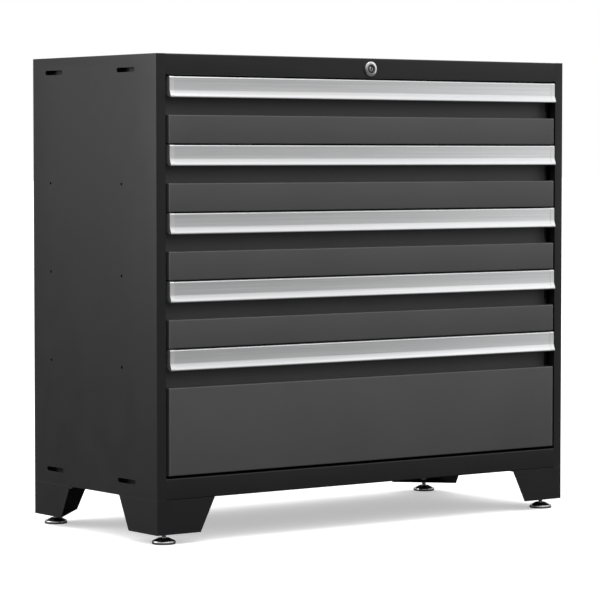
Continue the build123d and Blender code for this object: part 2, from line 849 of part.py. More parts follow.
with BuildPart() as lock_nut:
    with BuildSketch(Plane.XZ.offset(-front_y - sheet)):
        with Locations((0, lock_z)):
            RegularPolygon(lock_nut_flats / 2, 6, major_radius=False)
            Circle(barrel_diameter / 2 + screw_clearance / 4, mode=Mode.SUBTRACT)
    extrude(amount=-lock_nut_height)
lock_nut.part.label = "lock_nut"
export_step(lock_nut.part, "parts/lock_nut.step")

with BuildPart() as lock_plug:
    plug_face_y = front_y - bezel_proud + plug_recess
    collar_y = barrel_back_y + lock_clearance
    with BuildSketch(Plane.XZ.offset(-plug_face_y)):
        with Locations((0, lock_z)):
            Circle(plug_diameter / 2)
    extrude(amount=plug_face_y - collar_y)
    with BuildSketch(Plane.XZ.offset(-plug_face_y)):
        with Locations((0, lock_z)):
            Circle(plug_core_diameter / 2)
    extrude(amount=plug_core_proud)
    with BuildSketch(Plane.XZ.offset(-collar_y)):
        with Locations((0, lock_z)):
            Circle(plug_collar_diameter / 2)
    extrude(amount=-plug_collar)
    with BuildSketch(Plane.XZ.offset(-plug_face_y + plug_core_proud)):
        with Locations((0, lock_z)):
            Rectangle(keyway_width, keyway_height)
    extrude(amount=-keyway_depth, mode=Mode.SUBTRACT)
    with BuildSketch(Plane.XZ.offset(-collar_y - plug_collar)):
        with Locations((0, lock_z)):
            Circle((rod_diameter + rod_seat_clearance) / 2)
    extrude(amount=rod_seat, mode=Mode.SUBTRACT)
lock_plug.part.label = "lock_plug"
export_step(lock_plug.part, "parts/lock_plug.step")

with BuildPart() as lock_rod:
    rod_start_y = barrel_back_y + lock_clearance + plug_collar - rod_seat
    with BuildLine() as rod_line:
        FilletPolyline(
            (0, rod_start_y, lock_z),
            (0, crank_y, lock_z),
            (crank_reach, crank_y, pin_z),
            (crank_reach, pin_end_y, pin_z),
            radius=rod_bend,
        )
    with BuildSketch(Plane.XZ.offset(-rod_start_y)):
        with Locations((0, lock_z)):
            Circle(rod_diameter / 2)
    sweep(path=rod_line.wires()[0])
lock_rod.part.label = "lock_rod"
export_step(lock_rod.part, "parts/lock_rod.step")


# Lock bar, which the rod's pin lifts, and the brackets that guide it and the rod

with BuildPart() as bar_strip:
    bar_bottom = finger_tops[-1] - finger_height - arm_thickness - bar_end
    head_bottom = pin_z - bar_head_height / 2
    with BuildSketch(Plane.XZ.offset(-bar_front_y)):
        with Locations((0, bar_bottom)):
            Rectangle(bar_width, head_bottom - bar_bottom, align=(Align.CENTER, Align.MIN))
        with Locations((0, head_bottom)):
            Rectangle(bar_head_width, bar_head_height, align=(Align.CENTER, Align.MIN))
        with Locations(((crank_reach + crank_radius) / 2, pin_z)):
            pin_slot_height = rod_diameter + 2 * pin_slack
            pin_slot_width = pin_slot_height + crank_radius - crank_reach
            Rectangle(pin_slot_width, pin_slot_height, mode=Mode.SUBTRACT)
    extrude(amount=-bar_thickness)

finger_back_y = striker_back_y - sheet - finger_gap

with BuildPart() as bar_arms:
    for finger_top in finger_tops:
        with BuildSketch(Plane.XY.offset(finger_top - finger_height)):
            with Locations((0, bar_front_y)):
                arm_reach = bar_front_y - finger_back_y + finger_thickness
                Rectangle(bar_width, arm_reach, align=(Align.CENTER, Align.MAX))
        extrude(amount=-arm_thickness)

with BuildPart() as bar_fingers:
    for finger_top in finger_tops:
        with BuildSketch(Plane.XY.offset(finger_top - finger_height)):
            with Locations((0, finger_back_y)):
                Rectangle(bar_width, finger_thickness, align=(Align.CENTER, Align.MAX))
        extrude(amount=finger_height)

lock_bar = Compound(bar_strip.solids() + bar_arms.solids() + bar_fingers.solids())
lock_bar.label = "lock_bar"
export_step(lock_bar, "parts/lock_bar.step")

with BuildPart() as lock_brackets:
    guide_x = bar_width / 2 + guide_slack_x
    guide_y = bar_front_y - guide_slack_y
    for level in guide_levels:
        with BuildSketch(Plane.XY.offset(level - guide_height / 2)):
            with BuildLine():
                FilletPolyline(
                    (-guide_x - guide_foot, back_panel_y),
                    (-guide_x, back_panel_y),
                    (-guide_x, guide_y),
                    (guide_x, guide_y),
                    (guide_x, back_panel_y),
                    (guide_x + guide_foot, back_panel_y),
                    radius=guide_sheet / 2,
                )
                offset(amount=guide_sheet, side=Side.RIGHT)
            make_face()
        extrude(amount=guide_height)
    rod_bracket_y = crank_y - rod_bracket_inset
    with BuildSketch(Plane.YZ.offset(-rod_bracket_width / 2)):
        with BuildLine():
            FilletPolyline(
                (rod_bracket_y - rod_bracket_foot, height - sheet),
                (rod_bracket_y, height - sheet),
                (rod_bracket_y, height - sheet - rod_bracket_drop),
                radius=2 * guide_sheet,
            )
            offset(amount=guide_sheet, side=Side.RIGHT)
        make_face()
    extrude(amount=rod_bracket_width)
    with BuildSketch(Plane.XZ.offset(-rod_bracket_y)):
        with Locations((0, lock_z)):
            Circle(rod_diameter / 2 + lock_clearance)
    extrude(amount=guide_sheet, mode=Mode.SUBTRACT)
lock_brackets.part.label = "lock_brackets"
export_step(lock_brackets.part, "parts/lock_brackets.step")
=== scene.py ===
"""Looks of the five-drawer tool chest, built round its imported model, in metres.

X runs along the front, Y from front to back and Z up, as in the model. Places come from the model's boxes.
"""

import json
import math

import bmesh
import bpy
from mathutils import Matrix, Vector

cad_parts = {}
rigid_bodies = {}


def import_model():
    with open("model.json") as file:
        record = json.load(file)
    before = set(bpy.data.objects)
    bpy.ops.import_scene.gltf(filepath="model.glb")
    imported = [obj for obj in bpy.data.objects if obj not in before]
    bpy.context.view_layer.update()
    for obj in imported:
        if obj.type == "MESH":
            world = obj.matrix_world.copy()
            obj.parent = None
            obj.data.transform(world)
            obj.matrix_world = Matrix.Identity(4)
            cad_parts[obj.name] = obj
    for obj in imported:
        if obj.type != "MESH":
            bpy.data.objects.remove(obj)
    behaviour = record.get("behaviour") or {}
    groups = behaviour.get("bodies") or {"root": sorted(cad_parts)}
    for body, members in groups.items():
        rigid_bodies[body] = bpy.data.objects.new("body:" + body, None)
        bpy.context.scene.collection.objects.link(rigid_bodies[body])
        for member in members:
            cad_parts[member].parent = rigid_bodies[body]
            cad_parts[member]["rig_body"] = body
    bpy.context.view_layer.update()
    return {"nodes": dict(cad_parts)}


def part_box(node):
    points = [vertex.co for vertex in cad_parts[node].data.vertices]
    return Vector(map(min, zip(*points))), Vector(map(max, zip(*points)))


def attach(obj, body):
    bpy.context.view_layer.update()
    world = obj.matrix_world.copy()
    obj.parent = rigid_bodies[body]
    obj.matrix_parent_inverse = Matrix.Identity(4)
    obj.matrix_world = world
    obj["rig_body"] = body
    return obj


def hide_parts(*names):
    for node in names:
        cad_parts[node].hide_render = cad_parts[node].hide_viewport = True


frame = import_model()
nodes = frame["nodes"]
drawers = range(1, 6)
corners = ("front_left", "front_right", "rear_left", "rear_right")

MM = 0.001

# Sheet metal: the rounding that powder leaves on a cut edge, and that a press brake leaves on a fold
CUT_EDGE = 0.45 * MM
LEG_EDGE = 0.75 * MM
BOX_EDGE = 0.7 * MM
PLATED_EDGE = 0.2 * MM

# Handle section, from the drawer's top and from the recess's wall
HANDLE_WALL = 2.0 * MM
HANDLE_CORNER = 2.4 * MM
HANDLE_FACE = 22.5 * MM
HANDLE_FLANGE = 26.0 * MM
LIP_REACH = 4.0 * MM
LIP_SAG = 0.4 * MM
LIP_EDGE = 2.0 * MM
CAP_PLATE = 1.0 * MM
CAP_SLEEVE = 9.0 * MM
CAP_WALL = 0.35 * MM

# Drawer fronts and trays
BEND = 2.0 * MM
FRONT_SHEET = 1.0 * MM
FRONT_RETURN = 17.0 * MM
LEDGE_DROP = 65.0 * MM
WELD_FLANGE = 12.0 * MM
BOX_RIM = 6.0 * MM
STRIKER_REACH = 9.5 * MM
STRIKER_WIDTH = 24.0 * MM
STRIKER_DROP = 12.0 * MM
STRIKER_LIP = 14.0 * MM

# Ball rows of the slides
BALLS = 14
BALL_SLACK = 0.1 * MM
CAGE_WIDTH = 5.2 * MM
CAGE_SHEET = 0.6 * MM
CAGE_END = 5.0 * MM
RACE_SHEET = 1.2 * MM

# Screws, nuts and feet
SMALL_HEAD = 7.0 * MM
SMALL_HEAD_HEIGHT = 1.8 * MM
SMALL_SHANK = 3.9 * MM
RECESS_WIDTH = 0.9 * MM
RECESS_REACH = 1.9 * MM
RECESS_DEPTH = 1.2 * MM
LEG_SCREW_FLATS = 10.0 * MM
LEG_SCREW_SHANK = 6.0 * MM
LEG_WASHER = 13.0 * MM
LEG_WASHER_HEIGHT = 1.2 * MM
LEG_HEAD_HEIGHT = 4.0 * MM
FOOT_NUT_FLATS = 13.0 * MM
STEM = 8.0 * MM
STEM_COLLAR = 12.0 * MM
STEM_COLLAR_HEIGHT = 4.0 * MM
STEM_PITCH = 1.25 * MM
PAD_RIM = 6.0 * MM
PAD_NECK = 17.0 * MM
PAD_SOCKET = 3.0 * MM

# Lock
BARREL = 19.0 * MM
BARREL_PITCH = 1.0 * MM
BEZEL_PROUD = 3.0 * MM
PLUG = 15.0 * MM
PLUG_RECESS = 1.0 * MM
PLUG_COLLAR = 3.0 * MM
PLUG_CORE = 8.0 * MM
CORE_PROUD = 0.6 * MM
KEYWAY_WIDTH = 2.2 * MM
KEYWAY_HEIGHT = 6.5 * MM
KEYWAY_DEPTH = 9.0 * MM
LOCK_NUT_FLATS = 24.0 * MM

# Spot welds on the rear flanges
WELD_RADIUS = 2.8 * MM
WELD_RAISE = 0.15 * MM
WELDS = 13
WELD_INSET = 8.0 * MM


# Pockets behind the side slots
FRONT_SLOT = 94.5 * MM
REAR_SLOT = 71.5 * MM
SLOT_END = 26.0 * MM
POCKET_HALF = 29.5 * MM
POCKET_RISE = 7.0 * MM
POCKET_DEPTH = 15.0 * MM
POCKET_SHEET = 0.6 * MM

# Background paper: how much it is lifted for the camera, and the grey that the chest is lit by
PAPER_LIFT = 0.45
STUDIO_FLOOR = "#5c5c5c"


# Finishes


def linear(value):
    """An sRGB hex value as a linear colour with alpha."""
    parts = [int(value[i : i + 2], 16) / 255 for i in (1, 3, 5)]
    return [c / 12.92 if c <= 0.04045 else ((c + 0.055) / 1.055) ** 2.4 for c in parts] + [1.0]


def add_node(tree, kind, settings=None, inputs=None):
    """Adds a node with its settings, and with each input set to a value or linked to a socket."""
    made = tree.nodes.new(kind)
    for name, value in (settings or {}).items():
        setattr(made, name, value)
    for name, value in (inputs or {}).items():
        if isinstance(value, bpy.types.NodeSocket):
            tree.links.new(value, made.inputs[name])
        else:
            made.inputs[name].default_value = value
    return made


def new_finish(name):
    """An empty material: itself, its tree, and the socket of its place on the piece."""
    finish = bpy.data.materials.new(name)
    finish.use_nodes = True
    tree = finish.node_tree
    tree.nodes.clear()
    place = add_node(tree, "ShaderNodeTexCoord").outputs["Object"]
    return finish, tree, place


def finish_with(tree, inputs):
    """Adds the shader and the output of a material."""
    shader = add_node(tree, "ShaderNodeBsdfPrincipled", inputs=inputs)
    add_node(tree, "ShaderNodeOutputMaterial", inputs={"Surface": shader.outputs["BSDF"]})


def grain(tree, place, size, detail=2.0, stretch=(1.0, 1.0, 1.0)):
    """Noise whose grains are as large as size, drawn out along the axes by stretch."""
    scale = [1 / (size * s) for s in stretch]
    mapping = add_node(tree, "ShaderNodeMapping", inputs={"Vector": place, "Scale": scale})
    noise = {"Vector": mapping.outputs["Vector"], "Scale": 1.0, "Detail": detail}
    return add_node(tree, "ShaderNodeTexNoise", inputs=noise).outputs["Fac"]


def ranged(tree, value, low, high, from_low=0.3, from_high=0.7):
    """A noise value brought to a range."""
    inputs = {"Value": value, "From Min": from_low, "From Max": from_high, "To Min": low, "To Max": high}
    return add_node(tree, "ShaderNodeMapRange", inputs=inputs).outputs["Result"]


def mixed(tree, share, first, second):
    """Two colours mixed by a share."""
    made = add_node(tree, "ShaderNodeMix", {"data_type": "RGBA"}, {"Factor": share, 6: first, 7: second})
    return made.outputs[2]


def edge_share(tree, radius):
    """1 on the edges of a piece and 0 on its flats."""
    rounded_normal = add_node(tree, "ShaderNodeBevel", {"samples": 4}, {"Radius": radius}).outputs["Normal"]
    true_normal = add_node(tree, "ShaderNodeNewGeometry").outputs["Normal"]
    facing = add_node(tree, "ShaderNodeVectorMath", {"operation": "DOT_PRODUCT"}, {0: rounded_normal, 1: true_normal})
    return ranged(tree, facing.outputs["Value"], 1.0, 0.0, 0.9, 0.995)


def powder_coat(name, colour, thick, thin_coat_and_highlight, roughness):
    """Polyester powder sprayed and baked on sheet steel.

    It dries to a satin skin with a faint orange peel. It draws back a little from cut edges, where it is
    thinner and smoother. Its colour is lighter along edges and folds, partly for that thinner coat and partly
    as a painted highlight. The peel of real powder is about 1 mm, drawn at 2.5 mm.
    """
    finish, tree, place = new_finish(name)
    cloud = grain(tree, place, 160 * MM)
    flats = mixed(tree, ranged(tree, cloud, 0.0, 1.0), linear(colour), linear(thick))
    # Edge mask for edges and folds up to 1.6 mm round: partly the thinner coat on cut edges, partly a painted
    # highlight
    edges = edge_share(tree, 1.6 * MM)
    peel = grain(tree, place, 2.5 * MM)
    fleck = grain(tree, place, 0.5 * MM, 1.0)
    skin = add_node(tree, "ShaderNodeMath", {"operation": "MULTIPLY_ADD"}, {0: fleck, 1: 0.25, 2: peel})
    relief = {"Height": skin.outputs[0], "Distance": 0.02 * MM, "Strength": 1.0}
    bump = add_node(tree, "ShaderNodeBump", inputs=relief)
    sheen = ranged(tree, grain(tree, place, 45 * MM), roughness - 0.03, roughness + 0.03)
    smooth = add_node(tree, "ShaderNodeMath", {"operation": "MULTIPLY_ADD"}, {0: edges, 1: -0.1, 2: sheen})
    shader = {
        # Base colour lightened on edges and folds: partly the thinner coat's colour, partly a painted highlight
        "Base Color": mixed(tree, edges, flats, linear(thin_coat_and_highlight)),
        "Roughness": smooth.outputs[0],
        "IOR": 1.5,
        "Normal": bump.outputs["Normal"],
    }
    finish_with(tree, shader)
    return finish


def satin_aluminium():
    """Extruded aluminium, brushed along its length and anodised clear.

    The brushing draws highlights out across the handle. Its lines are about 0.1 mm apart, drawn at 0.7 mm.
    """
    finish, tree, place = new_finish("satin anodised aluminium")
    lines = grain(tree, place, 0.7 * MM, 3.0, (90.0, 1.0, 1.0))
    streaks = grain(tree, place, 3.0 * MM, 2.0, (120.0, 1.0, 1.0))
    bump = add_node(tree, "ShaderNodeBump", inputs={"Height": lines, "Distance": 0.012 * MM})
    along = add_node(tree, "ShaderNodeCombineXYZ", inputs={"X": 1.0})
    shader = {
        "Base Color": mixed(tree, ranged(tree, streaks, 0.0, 1.0), linear("#d9dadb"), linear("#e6e6e7")),
        "Metallic": 1.0,
        "Roughness": ranged(tree, lines, 0.30, 0.40),
        "Anisotropic": 0.5,
        "Anisotropic Rotation": 0.25,
        "Tangent": along.outputs["Vector"],
        "Normal": bump.outputs["Normal"],
    }
    finish_with(tree, shader)
    return finish


def silver_cap():
    """Moulded ABS end cap, sprayed silver: finer and a little whiter than the metal beside it."""
    finish, tree, place = new_finish("silver-sprayed ABS")
    flake = grain(tree, place, 0.6 * MM, 1.0)
    shader = {
        "Base Color": mixed(tree, ranged(tree, flake, 0.0, 1.0), linear("#dcdddd"), linear("#eeeeee")),
        "Metallic": 0.85,
        "Roughness": ranged(tree, flake, 0.34, 0.42),
        "IOR": 1.5,
    }
    finish_with(tree, shader)
    return finish


def zinc_plate():
    """Bright zinc plated on rolled steel: faintly blue, with cloudy passivation and the sheet's rolling lines."""
    finish, tree, place = new_finish("bright zinc plate")
    cloud = grain(tree, place, 14 * MM, 3.0)
    rolled = grain(tree, place, 0.6 * MM, 2.0, (1.0, 40.0, 1.0))
    bump = add_node(tree, "ShaderNodeBump", inputs={"Height": rolled, "Distance": 0.006 * MM})
    shader = {
        "Base Color": mixed(tree, ranged(tree, cloud, 0.0, 1.0), linear("#b9bdc2"), linear("#cccbc6")),
        "Metallic": 1.0,
        "Roughness": ranged(tree, cloud, 0.24, 0.36),
        "Normal": bump.outputs["Normal"],
    }
    finish_with(tree, shader)
    return finish


def chrome_plate():
    """Chrome plated on polished steel: a sharp mirror with faint buffing marks."""
    finish, tree, place = new_finish("polished chrome plate")
    buffed = grain(tree, place, 3.0 * MM, 3.0)
    shader = {
        "Base Color": mixed(tree, buffed, linear("#dfe0e2"), linear("#ececec")),
        "Metallic": 1.0,
        "Roughness": ranged(tree, buffed, 0.12, 0.22),
    }
    finish_with(tree, shader)
    return finish


def dark_nickel():
    """Black nickel plated on a zinc casting: dark and soft, a little brighter on its edges."""
    finish, tree, place = new_finish("black nickel plate")
    edges = edge_share(tree, 0.2 * MM)
    cast = grain(tree, place, 0.8 * MM)
    shader = {
        "Base Color": mixed(tree, edges, linear("#4a4a4c"), linear("#8d8d8f")),
        "Metallic": 1.0,
        "Roughness": ranged(tree, cast, 0.32, 0.42),
    }
    finish_with(tree, shader)
    return finish


def bearing_steel():
    """Hardened bearing balls under a film of grease: a mirror, slightly warm."""
    finish, tree, place = new_finish("greased bearing steel")
    film = grain(tree, place, 1.5 * MM)
    shader = {
        "Base Color": mixed(tree, film, linear("#c9c6bf"), linear("#d8d7d4")),
        "Metallic": 1.0,
        "Roughness": ranged(tree, film, 0.08, 0.2),
    }
    finish_with(tree, shader)
    return finish


def studio_paper():
    """Matt white background paper with the faintest tooth.

    It is lifted to white where the camera sees it, as a cut-out catalogue picture is. The chest itself is lit
    by it as by a grey studio floor.
    """
    finish, tree, place = new_finish("white background paper")
    tooth = grain(tree, place, 4.0 * MM)
    seen = {
        "Base Color": mixed(tree, tooth, linear("#f6f6f6"), linear("#f8f8f8")),
        "Roughness": 0.95,
        "Specular IOR Level": 0.0,
        "Emission Color": linear("#ffffff"),
        "Emission Strength": PAPER_LIFT,
    }
    seen = add_node(tree, "ShaderNodeBsdfPrincipled", inputs=seen)
    studio = add_node(tree, "ShaderNodeBsdfDiffuse", inputs={"Color": linear(STUDIO_FLOOR)})
    by_camera = add_node(tree, "ShaderNodeLightPath").outputs["Is Camera Ray"]
    both = {0: by_camera, 1: studio.outputs["BSDF"], 2: seen.outputs["BSDF"]}
    both = add_node(tree, "ShaderNodeMixShader", inputs=both)
    add_node(tree, "ShaderNodeOutputMaterial", inputs={"Surface": both.outputs["Shader"]})
    return finish


# The last colour of each coat lightens its edges and folds, partly for a thinner coat and partly as a painted
# highlight
BLACK = powder_coat("black powder coat", "#17171a", "#1b1b1d", "#2e2e30", 0.42)
GREY = powder_coat("dark grey powder coat", "#535354", "#575758", "#7a7a7b", 0.42)
ALUMINIUM = satin_aluminium()
SILVER = silver_cap()
ZINC = zinc_plate()
CHROME = chrome_plate()
NICKEL = dark_nickel()
BALL_STEEL = bearing_steel()


# Making pieces


def placed(name, mesh, finish, body, stands_for=()):
    """A piece made of a mesh that is already in place, riding on a body."""
    mesh.materials.clear()
    mesh.materials.append(finish)
    piece = bpy.data.objects.new(name, mesh)
    bpy.context.scene.collection.objects.link(piece)
    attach(piece, body)
    if stands_for:
        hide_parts(*stands_for)
    return piece


def smooth(mesh, angle=35):
    """Shades a mesh smooth, apart from edges sharper than the angle."""
    mesh.shade_smooth()
    mesh.set_sharp_from_angle(angle=math.radians(angle))
    return mesh


def joined_copy(node):
    """A plain mesh of a CAD node, with its triangles joined into whole faces."""
    shape = bmesh.new()
    shape.from_mesh(nodes[node].data)
    bmesh.ops.remove_doubles(shape, verts=shape.verts, dist=0.001 * MM)
    bmesh.ops.dissolve_limit(shape, angle_limit=math.radians(0.5), verts=shape.verts, edges=shape.edges)
    mesh = bpy.data.meshes.new(node)
    shape.to_mesh(mesh)
    shape.free()
    for attribute in [a for a in mesh.attributes if a.name == "custom_normal"]:
        mesh.attributes.remove(attribute)
    return mesh


def round_edges(piece, edge):
    """Rounds a piece's edges, as paint, plating or a fold rounds them."""
    rounding = piece.modifiers.new("edges", "BEVEL")
    rounding.width = edge
    rounding.segments = 2
    rounding.limit_method = "ANGLE"
    rounding.angle_limit = math.radians(35)
    rounding.harden_normals = True


def dressed(node, finish, edge):
    """A CAD node's own shape with its edges rounded."""
    piece = placed(f"{node}_dressed", smooth(joined_copy(node)), finish, nodes[node]["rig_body"], [node])
    round_edges(piece, edge)


def turned(profile, steps):
    """A closed mesh turned about Z from points that start and end on the axis.

    Each point is a radius, a height, and whether it is six-sided.
    """
    shape = bmesh.new()
    rings = []
    for radius, height, six_sided in profile:
        if radius == 0:
            rings.append([shape.verts.new((0, 0, height))])
            continue
        ring = []
        for step in range(steps):
            angle = math.tau * step / steps
            off_flat = (angle + math.pi / 6) % (math.pi / 3) - math.pi / 6
            reach = radius / math.cos(off_flat) if six_sided else radius
            ring.append(shape.verts.new((reach * math.cos(angle), reach * math.sin(angle), height)))
        rings.append(ring)
    for lower, upper in zip(rings, rings[1:]):
        for step in range(steps):
            after = (step + 1) % steps
            around = [lower[step % len(lower)], lower[after % len(lower)]]
            around += [upper[after % len(upper)], upper[step % len(upper)]]
            shape.faces.new(list(dict.fromkeys(around)))
    bmesh.ops.recalc_face_normals(shape, faces=shape.faces)
    mesh = bpy.data.meshes.new("turned")
    shape.to_mesh(mesh)
    shape.free()
    return mesh


def turned_round(profile, steps):
    """A closed mesh turned about Z from round points, each a radius and a height."""
    return turned([(*point, False) for point in profile], steps)


def round_points(points, closed, radii, steps=6):
    """Points of a flat outline whose corners are rounded to those radii."""
    made = []
    count = len(points)
    for index, corner in enumerate(points):
        here = Vector(corner)
        if radii[index] == 0 or (not closed and index in (0, count - 1)):
            made.append(here)
            continue
        before = (Vector(points[index - 1]) - here).normalized()
        after = (Vector(points[(index + 1) % count]) - here).normalized()
        half = before.angle(after) / 2
        middle = here + (before + after).normalized() * radii[index] / math.sin(half)
        start = here + before * radii[index] / math.tan(half) - middle
        end = here + after * radii[index] / math.tan(half) - middle
        for step in range(steps + 1):
            share = step / steps
            arc = math.pi - 2 * half
            made.append(middle + (start * math.sin(arc * (1 - share)) + end * math.sin(arc * share)) / math.sin(arc))
    return made


def walled(path, wall):
    """A closed outline: the path, a round nose, and back along the wall's other side, to the path's left."""
    left = []
    for index, point in enumerate(path):
        sides = []
        if index > 0:
            sides.append((point - path[index - 1]).normalized())
        if index < len(path) - 1:
            sides.append((path[index + 1] - point).normalized())
        along = sum(sides, Vector((0, 0))).normalized()
        reach = wall / max(along.dot(sides[-1]), 0.2)
        left.append(point + Vector((-along.y, along.x)) * reach)
    nose_middle = (path[-1] + left[-1]) / 2
    spoke = path[-1] - nose_middle
    nose = [nose_middle + Matrix.Rotation(math.pi * step / 6, 2) @ spoke for step in range(1, 6)]
    return list(path) + nose + left[::-1]


def node_tree(name, inputs):
    """A Geometry Nodes tree with named inputs: the tree, its inputs' sockets and its output's."""
    tree = bpy.data.node_groups.new(name, "GeometryNodeTree")
    tree.interface.new_socket("Geometry", in_out="INPUT", socket_type="NodeSocketGeometry")
    for label, kind in inputs.items():
        tree.interface.new_socket(label, in_out="INPUT", socket_type=f"NodeSocket{kind}")
    tree.interface.new_socket("Geometry", in_out="OUTPUT", socket_type="NodeSocketGeometry")
    given = tree.nodes.new("NodeGroupInput").outputs
    return tree, given, tree.nodes.new("NodeGroupOutput")


def close_tree(tree, geometry, finish, output):
    """Ends a tree: its instances are made real and given their material."""
    real = add_node(tree, "GeometryNodeRealizeInstances", inputs={"Geometry": geometry})
    coated = {"Geometry": real.outputs["Geometry"], "Material": finish}
    done = add_node(tree, "GeometryNodeSetMaterial", inputs=coated)
    tree.links.new(done.outputs["Geometry"], output.inputs[0])


def grown(tree, base, values):
    """The plain mesh that a tree makes of a base mesh or curve."""
    holder = bpy.data.objects.new(tree.name, base)
    bpy.context.scene.collection.objects.link(holder)
    modifier = holder.modifiers.new(tree.name, "NODES")
    modifier.node_group = tree
    for item in tree.interface.items_tree:
        if item.in_out == "INPUT" and item.name in values:
            modifier[item.identifier] = values[item.name]
    settled = holder.evaluated_get(bpy.context.evaluated_depsgraph_get())
    mesh = bpy.data.meshes.new_from_object(settled)
    bpy.data.objects.remove(holder)
    return mesh


def hardware_tree():
    """Sets one pattern piece on every point of the base, turned so that its Z lies along the point's axis."""
    tree, given, output = node_tree("hardware", {"Pattern": "Object", "Finish": "Material"})
    axis = add_node(tree, "GeometryNodeInputNamedAttribute", {"data_type": "FLOAT_VECTOR"}, {"Name": "axis"})
    turn = {"Vector": axis.outputs["Attribute"]}
    aligned = add_node(tree, "FunctionNodeAlignRotationToVector", {"axis": "Z"}, turn)
    pattern = add_node(tree, "GeometryNodeObjectInfo", inputs={"Object": given["Pattern"]})
    spread = {
        "Points": given["Geometry"],
        "Instance": pattern.outputs["Geometry"],
        "Rotation": aligned.outputs["Rotation"],
    }
    instances = add_node(tree, "GeometryNodeInstanceOnPoints", inputs=spread)
    close_tree(tree, instances.outputs["Instances"], given["Finish"], output)
    return tree


def ball_row_tree():
    """A row of balls along Y from every point of the base."""
    inputs = {"Count": "Int", "Pitch": "Float", "Diameter": "Float", "Finish": "Material"}
    tree, given, output = node_tree("ball rows", inputs)
    radius = add_node(tree, "ShaderNodeMath", {"operation": "DIVIDE"}, {0: given["Diameter"], 1: 2.0})
    ball = {"Segments": 10, "Rings": 6, "Radius": radius.outputs[0]}
    ball = add_node(tree, "GeometryNodeMeshUVSphere", inputs=ball)
    round_ball = add_node(tree, "GeometryNodeSetShadeSmooth", inputs={"Geometry": ball.outputs["Mesh"]})
    step = add_node(tree, "ShaderNodeCombineXYZ", inputs={"Y": given["Pitch"]})
    row = add_node(tree, "GeometryNodeMeshLine", inputs={"Count": given["Count"], "Offset": step.outputs["Vector"]})
    balls = {"Points": row.outputs["Mesh"], "Instance": round_ball.outputs["Geometry"]}
    balls = add_node(tree, "GeometryNodeInstanceOnPoints", inputs=balls)
    rows = {"Points": given["Geometry"], "Instance": balls.outputs["Instances"]}
    rows = add_node(tree, "GeometryNodeInstanceOnPoints", inputs=rows)
    close_tree(tree, rows.outputs["Instances"], given["Finish"], output)
    return tree


def thread_tree():
    """A screw thread of triangular section round Z, from every point of the base upwards."""
    inputs = {"Radius": "Float", "Pitch": "Float", "Length": "Float", "Finish": "Material"}
    tree, given, output = node_tree("screw thread", inputs)
    turns = add_node(tree, "ShaderNodeMath", {"operation": "DIVIDE"}, {0: given["Length"], 1: given["Pitch"]})
    depth = add_node(tree, "ShaderNodeMath", {"operation": "MULTIPLY"}, {0: given["Pitch"], 1: 0.5})
    middle = add_node(tree, "ShaderNodeMath", {"operation": "SUBTRACT"}, {0: given["Radius"], 1: depth.outputs[0]})
    helix = {
        "Resolution": 20,
        "Rotations": turns.outputs[0],
        "Start Radius": middle.outputs[0],
        "End Radius": middle.outputs[0],
        "Height": given["Length"],
    }
    helix = add_node(tree, "GeometryNodeCurveSpiral", inputs=helix)
    section = add_node(tree, "GeometryNodeCurvePrimitiveCircle", inputs={"Resolution": 4, "Radius": depth.outputs[0]})
    ridge = {"Curve": helix.outputs["Curve"], "Profile Curve": section.outputs["Curve"], "Fill Caps": True}
    ridge = add_node(tree, "GeometryNodeCurveToMesh", inputs=ridge)
    threads = {"Points": given["Geometry"], "Instance": ridge.outputs["Mesh"]}
    threads = add_node(tree, "GeometryNodeInstanceOnPoints", inputs=threads)
    close_tree(tree, threads.outputs["Instances"], given["Finish"], output)
    return tree


def section_tree():
    """Fills a flat closed outline and draws it out along Z, then stands it up so that its Z runs along X."""
    inputs = {"Length": "Float", "Place": "Vector", "Finish": "Material"}
    tree, given, output = node_tree("drawn section", inputs)
    filled = add_node(tree, "GeometryNodeFillCurve", inputs={"Curve": given["Geometry"]})
    filled.mode = "NGONS"
    length = add_node(tree, "ShaderNodeCombineXYZ", inputs={"Z": given["Length"]})
    drawn = {"Mesh": filled.outputs["Mesh"], "Offset": length.outputs["Vector"], "Individual": False}
    drawn = add_node(tree, "GeometryNodeExtrudeMesh", inputs=drawn)
    back = add_node(tree, "GeometryNodeFlipFaces", inputs={"Mesh": filled.outputs["Mesh"]})
    whole = add_node(tree, "GeometryNodeJoinGeometry")
    tree.links.new(back.outputs["Mesh"], whole.inputs["Geometry"])
    tree.links.new(drawn.outputs["Mesh"], whole.inputs["Geometry"])
    closed = {"Geometry": whole.outputs["Geometry"], "Distance": 0.001 * MM}
    closed = add_node(tree, "GeometryNodeMergeByDistance", inputs=closed)
    stood = {
        "Geometry": closed.outputs["Geometry"],
        "Rotation": (math.pi / 2, 0.0, math.pi / 2),
        "Translation": given["Place"],
    }
    stood = add_node(tree, "GeometryNodeTransform", inputs=stood)
    close_tree(tree, stood.outputs["Geometry"], given["Finish"], output)
    return tree


HARDWARE = hardware_tree()
BALL_ROWS = ball_row_tree()
THREAD = thread_tree()
SECTION = section_tree()


def points_mesh(places, axis=None):
    """A mesh of loose points, each with the axis that its hardware lies along."""
    mesh = bpy.data.meshes.new("places")
    mesh.from_pydata([tuple(p) for p in places], [], [])
    if axis:
        axes = mesh.attributes.new("axis", "FLOAT_VECTOR", "POINT")
        for item, direction in zip(axes.data, axis):
            item.vector = direction
    return mesh


def hardware(pattern, places, finish):
    """One mesh of a pattern piece set at places, each a point and an axis."""
    holder = bpy.data.objects.new("pattern", pattern)
    bpy.context.scene.collection.objects.link(holder)
    base = points_mesh([p for p, _ in places], [a for _, a in places])
    mesh = grown(HARDWARE, base, {"Pattern": holder, "Finish": finish})
    bpy.data.objects.remove(holder)
    return smooth(mesh)


